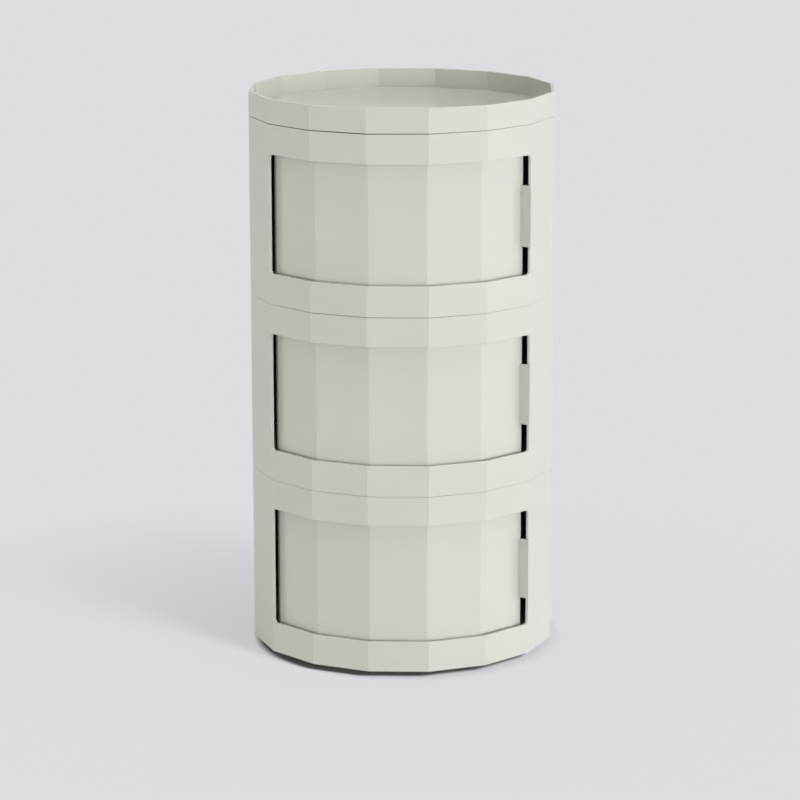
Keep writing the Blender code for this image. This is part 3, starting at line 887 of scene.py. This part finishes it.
def makeCastor(corner, look):
    node = "castor_" + corner
    words = corner.split("_")
    name = words[0] + words[1].title()
    boxes = {part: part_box(f"{node}_{part}") for part in ("plate", "kingpin", "washer", "axle", "wheel")}
    low, high = boxes["kingpin"]
    pivot = (low + high) / 2
    cent = (pivot.x, pivot.y, 0)
    shank, rivet, riveted = look["kingpinShank"], (high.x - low.x) / 2, low.z + look["rivetHead"]
    dome = [(0, low.z)] + [(rivet * share, low.z + rise) for share, rise in look["rivetDome"]]
    rod = [(rivet, riveted), (shank, riveted), (shank, high.z), (0, high.z)]
    shape = turnedPart(dome + rod, look["steps"], cent, False)
    newPiece(name + "Kingpin", shape, steel, "cabinet", node + "_kingpin")
    for part, finish, slot in (("plate", steel, "steel"), ("washer", nylon, "nylon")):
        low, high = boxes[part]
        ring = washerProfile(look["hole"], (high.x - low.x) / 2, low.z, high.z)
        shape = turnedPart(ring, look["steps"], cent, True, look["edge"])
        newPiece(name + part.title(), shape, finish, "cabinet", f"{node}_{part}")
    for side in ("left", "right"):
        makeScrew(f"{node}_screw_{side}", f"{name}Screw{side.title()}", screwLook)
    low, high = boxes["wheel"]
    hub = (low + high) / 2
    makeYoke(node + "_yoke", name + "Yoke", node + "_fork", pivot, hub.z, yokeLook)
    low, high = boxes["axle"]
    end, head, neck = (high.x - low.x) / 2, (high.z - low.z) / 2, look["axleHead"]
    share, fall = look["axleDome"]
    cap = [(0, end), (head * share, end - fall), (head, end - neck), (look["axleShank"], end - neck)]
    shape = turnedPart(cap + mirrored(cap), look["axleSteps"], tuple(hub), False, axis=(1, 0, 0))
    newPiece(name + "Axle", shape, steel, node + "_fork", node + "_axle")
    makeWheel(node + "_wheel", name + "Wheel", node + "_roller", hub, wheelLook)


for corner in corners:
    makeCastor(corner, castorLook)
print("castors made")

# studio: floor, lights and camera
studioLook = {
    "floorSize": 60.0,
    "paper": (0.14, 0.14, 0.14, 1),
    "paperRoughness": 0.9,
    "paperSeen": (0.262, 0.252, 0.270, 1),
    "backdrop": (0.738, 0.716, 0.753, 1),
    "fadeCentre": (0.0075, 0.0, 0.0),
    "footFade": (0.178, 0.188, 0.73),  # between these distances the backdrop takes this share of the floor
    "shadowFade": (0.2, 0.7, 1.0),  # and between these all of it
    "skyTone": (0.917, 1.0, 0.855, 1),
    "skyStrength": 0.326,
}


def paperFinish(look):  # a shadow falls on it, and from below it is clear
    finish = newFinish(
        "studioPaper", Base_Color=look["paper"], Roughness=look["paperRoughness"], Specular_IOR_Level=0.0,
    )
    spot = {0: finish.place(), 1: look["fadeCentre"]}
    away = finish.node("ShaderNodeVectorMath", {"operation": "SUBTRACT"}, spot)
    reach = finish.node("ShaderNodeVectorMath", {"operation": "LENGTH"}, {0: away}, "Value")
    shown = 1.0
    for start, end, most in (look["footFade"], look["shadowFade"]):
        fade = {"Value": reach, "From Min": start, "From Max": end, "To Max": most}
        shown = shown * (1.0 - finish.node("ShaderNodeMapRange", {}, fade))
    shaded = finish.node("ShaderNodeBsdfDiffuse", {}, {"Color": look["paperSeen"]})
    plain = finish.node("ShaderNodeEmission", {}, {"Color": look["backdrop"]})
    clear = finish.node("ShaderNodeBsdfTransparent", {}, {})
    back = finish.node("ShaderNodeNewGeometry", {}, {}, "Backfacing")
    seen = finish.blendShaders(shown, plain, shaded)
    top = finish.blendShaders(finish.seenShare(), finish.ownShader(), seen)
    finish.show(finish.blendShaders(back, top, clear), "Material Output")
    return finish.owner


def makeStudio(look):
    shape = bmesh.new()
    bmesh.ops.create_grid(shape, x_segments=1, y_segments=1, size=look["floorSize"] / 2)
    mesh = bpy.data.meshes.new("studioFloor")
    shape.to_mesh(mesh)
    shape.free()
    mesh.materials.append(paperFinish(look))
    floor = bpy.data.objects.new("studioFloor", mesh)
    bpy.context.scene.collection.objects.link(floor)
    floorOnly.objects.link(floor)
    world = bpy.data.worlds.new("studioAir")
    bpy.context.scene.world = world
    air = Finish(world, "Background", Color=look["skyTone"], Strength=look["skyStrength"])
    wall = air.node("ShaderNodeBackground", {}, {"Color": look["backdrop"]})
    air.show(air.blendShaders(air.seenShare(), air.ownShader(), wall), "World Output")


makeStudio(studioLook)

lampLook = {
    "softBoxFront": {"azimuth": 30, "elevation": 5, "angle": 20, "strength": 1.03},
    "softBoxRight": {"azimuth": 60, "elevation": 5, "angle": 20, "strength": 0.98},
    "softBoxTop": {"azimuth": 0, "elevation": 90, "angle": 60, "strength": 1.12},
    "softBoxRear": {"azimuth": 165, "elevation": 5, "angle": 30, "strength": 1.15, "lights": cabinetOnly},
    "floorLamp": {"azimuth": 47, "elevation": 31, "angle": 18, "strength": 12.0, "lights": floorOnly},
    "underLamp": {
        "azimuth": 30, "elevation": -60, "angle": 60, "strength": 0.8,
        "lights": undersideOnly, "shades": undersideOnly,
    },
}
softBoxDistance = 3.0
stripLook = {
    "stripFarLeft": {"azimuth": -90, "power": 18.4, "tone": (1.0, 0.977, 0.779)},
    "stripLeft": {"azimuth": -30, "power": 18.9, "tone": (0.988, 0.958, 1.0)},
    "stripRight": {"azimuth": 90, "power": 36.2, "tone": (0.936, 0.897, 1.0)},
}
stripSize = {"width": 1.6, "height": 0.5, "distance": 3.5, "middle": 0.29}


def makeLamp(name, kind, toLamp, distance, height=0.0):
    lamp = bpy.data.lights.new(name, kind)
    holder = bpy.data.objects.new(name, lamp)
    holder.rotation_mode = "QUATERNION"
    holder.rotation_quaternion = toLamp.to_track_quat("Z", "Y")
    holder.location = toLamp * distance + Vector((0, 0, height))
    holder.visible_camera = False
    holder.visible_glossy = False  # no bright patch of a lamp on the flat sides
    bpy.context.scene.collection.objects.link(holder)
    return holder


def makeSoftBox(name, look):  # a wide sun lamp is an even soft box far away
    up = math.radians(look["elevation"])
    toLamp = direction(look["azimuth"]) * math.cos(up) + Vector((0, 0, math.sin(up)))
    holder = makeLamp(name, "SUN", toLamp, softBoxDistance)
    holder.data.energy = look["strength"]
    holder.data.angle = math.radians(look["angle"])
    holder.light_linking.receiver_collection = look.get("lights")
    holder.light_linking.blocker_collection = look.get("shades")


def makeStrip(name, look, size):  # stands on the floor, lower than the tray
    lamp = makeLamp(name, "AREA", direction(look["azimuth"]), size["distance"], size["middle"]).data
    lamp.shape = "RECTANGLE"
    lamp.size, lamp.size_y = size["width"], size["height"]
    lamp.energy = look["power"]
    lamp.color = look["tone"]


for lampName, settings in lampLook.items():
    makeSoftBox(lampName, settings)
for lampName, settings in stripLook.items():
    makeStrip(lampName, settings, stripSize)

cameraLook = {
    "distance": 3.8441,
    "height": 1.1770,
    "azimuth": 1.756,
    "pan": 0.050,
    "pitch": 13.0,
    "roll": -0.121,
    "lens": 149.53,
    "sensor": 36,
    "farthest": 200,
}


def makeCamera(look):
    camera = bpy.data.cameras.new("studioCamera")
    camera.sensor_width = look["sensor"]
    camera.lens = look["lens"]
    camera.clip_end = look["farthest"]
    holder = bpy.data.objects.new("studioCamera", camera)
    bpy.context.scene.collection.objects.link(holder)
    pan = Matrix.Rotation(math.radians(look["azimuth"] + look["pan"]), 4, "Z")
    tilt = Matrix.Rotation(math.radians(90 - look["pitch"]), 4, "X")
    roll = Matrix.Rotation(math.radians(look["roll"]), 4, "Z")
    place = direction(look["azimuth"]) * look["distance"] + Vector((0, 0, look["height"]))
    holder.matrix_world = Matrix.Translation(place) @ pan @ tilt @ roll
    bpy.context.scene.camera = holder


makeCamera(cameraLook)
bpy.context.scene.view_settings.view_transform = "Standard"
print("studio made")
